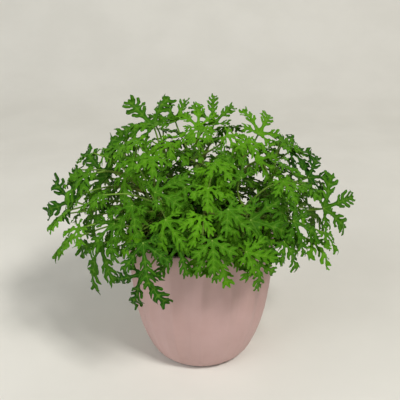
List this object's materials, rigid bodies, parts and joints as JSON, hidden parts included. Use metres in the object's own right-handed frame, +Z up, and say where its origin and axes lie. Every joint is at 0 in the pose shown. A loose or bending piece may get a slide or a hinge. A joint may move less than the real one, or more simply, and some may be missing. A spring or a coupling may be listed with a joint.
{
  "type": "potted scented geranium",
  "caption": "Bushy potted plant with deeply cut green leaves on leaning stems, in soil in a round pleated pot with a flat foot.",
  "frame": {"origin": "centre of the pot's flat foot, on the surface that it stands on", "axes": "+Z up along the pot's axis, -Y towards the front of the plant, +X to the right as seen from the front"},
  "size_m": [0.3068, 0.233, 0.2496],
  "materials": {
    "pot": "matte dusty pink",
    "soil": "rough, crumbly, dark brown",
    "stem": "satin, green to light brown",
    "leaf": "soft, slightly hairy green"
  },
  "bodies": {
    "root": {"leaf_01": "leaf", "leaf_02": "leaf", "leaf_03": "leaf", "leaf_04": "leaf", "leaf_05": "leaf", "leaf_06": "leaf", "leaf_07": "leaf", "leaf_08": "leaf", "leaf_09": "leaf", "leaf_10": "leaf", "leaf_11": "leaf", "leaf_12": "leaf", "leaf_13": "leaf", "leaf_14": "leaf", "leaf_15": "leaf", "leaf_16": "leaf", "leaf_17": "leaf", "leaf_18": "leaf", "leaf_19": "leaf", "leaf_20": "leaf", "leaf_21": "leaf", "leaf_22": "leaf", "leaf_23": "leaf", "leaf_24": "leaf", "leaf_25": "leaf", "leaf_26": "leaf", "leaf_27": "leaf", "leaf_28": "leaf", "leaf_29": "leaf", "leaf_30": "leaf", "leaf_31": "leaf", "leaf_32": "leaf", "leaf_33": "leaf", "leaf_34": "leaf", "leaf_35": "leaf", "leaf_36": "leaf", "leaf_37": "leaf", "leaf_38": "leaf", "leaf_39": "leaf", "leaf_40": "leaf", "leaf_41": "leaf", "leaf_42": "leaf", "leaf_43": "leaf", "leaf_44": "leaf", "leaf_45": "leaf", "leaf_46": "leaf", "leaf_47": "leaf", "leaf_48": "leaf", "leaf_49": "leaf", "pot": "pot", "soil": "soil", "stem_back": "stem", "stem_back_left": "stem", "stem_back_right": "stem", "stem_centre": "stem", "stem_front": "stem", "stem_front_left": "stem", "stem_front_right": "stem", "stem_left": "stem", "stem_right": "stem"}
  },
  "joints": []
}
